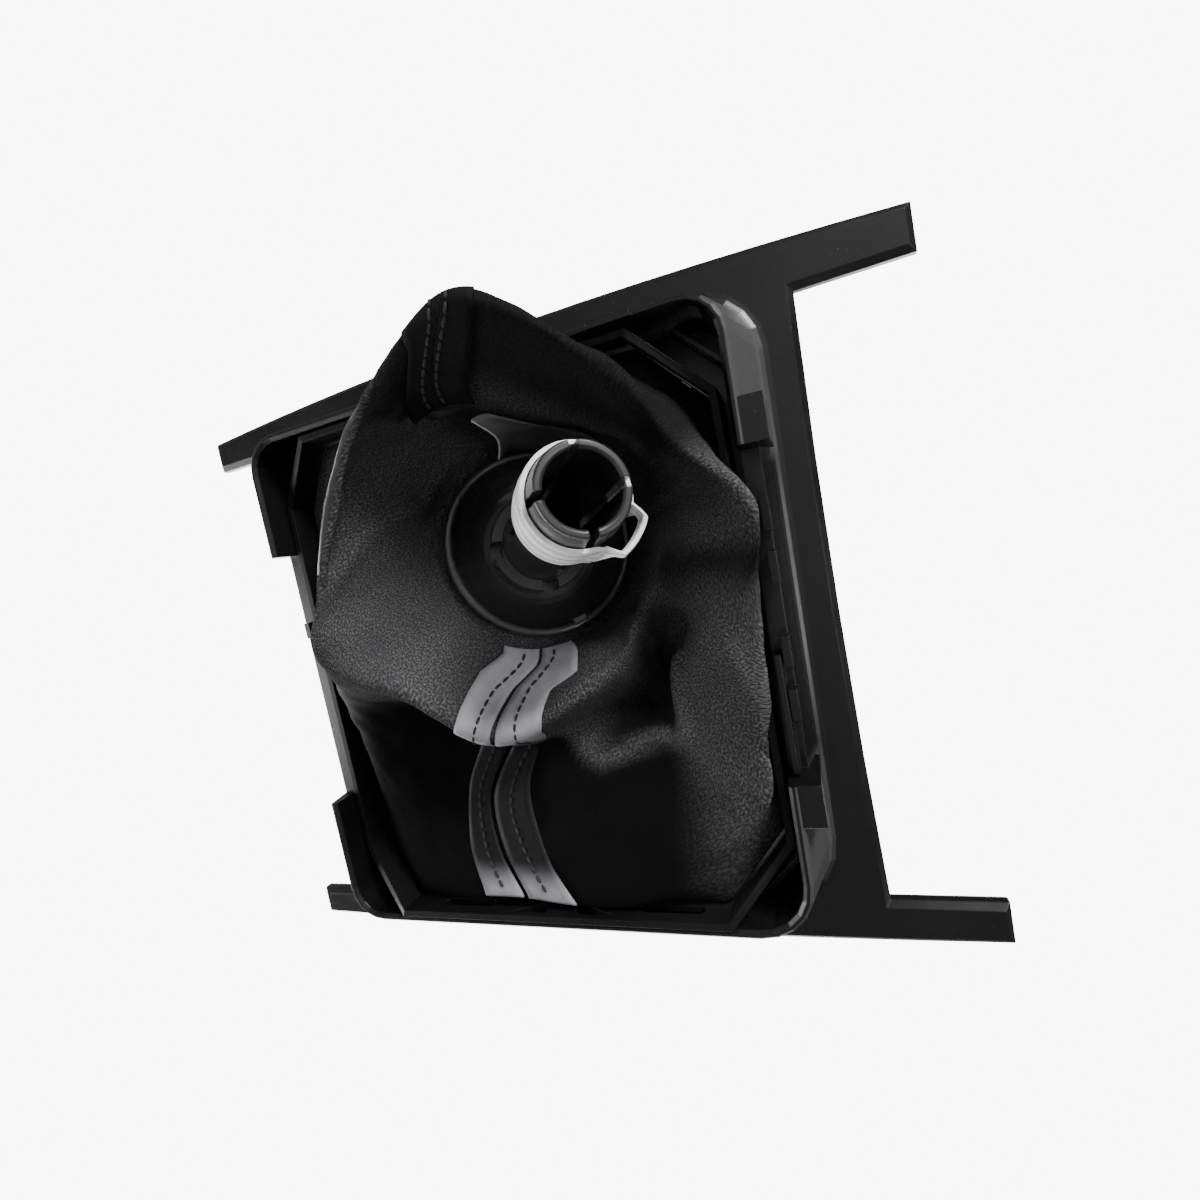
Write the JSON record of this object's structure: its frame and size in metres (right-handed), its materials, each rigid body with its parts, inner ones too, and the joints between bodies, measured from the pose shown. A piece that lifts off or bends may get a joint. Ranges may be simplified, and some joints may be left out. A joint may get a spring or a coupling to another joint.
{
  "type": "gear knob with frame",
  "caption": "Gear knob with a leatherette gaiter in a black console trim frame; the knob is pushed down through the frame, with its slotted lever sleeve and ear clamp showing below.",
  "frame": {"origin": "Centre of the trim frame, on the underside plane of its flange, where it rests on the console.", "axes": "+Z is the outer face as fitted in the console, +X runs along the two rails, and +Y is the frame's front, at the bottom of the picture."},
  "size_m": [0.1876, 0.155, 0.1131],
  "materials": {
    "gloss_black": "satin gloss",
    "satin_black": "satin",
    "steel": "bright drawn",
    "chrome": "polished",
    "leather": "fine grain",
    "backing": "knitted backing of leatherette",
    "tape": "smooth strip"
  },
  "bodies": {
    "root": {"trim_frame": "gloss_black", "gaiter_retainer": "satin_black", "base_ring": "gloss_black", "lever_sleeve": "gloss_black", "ear_clamp": "steel", "knob_neck": "satin_black", "neck_trim_ring": "chrome", "grip_core": "satin_black", "grip_cover": "leather", "cap_bezel": "chrome", "top_cap": "gloss_black", "gaiter_left_panel": "backing", "gaiter_right_panel": "backing", "front_seam_tape": "tape", "back_seam_tape": "tape", "hem_tape": "tape"}
  },
  "joints": []
}
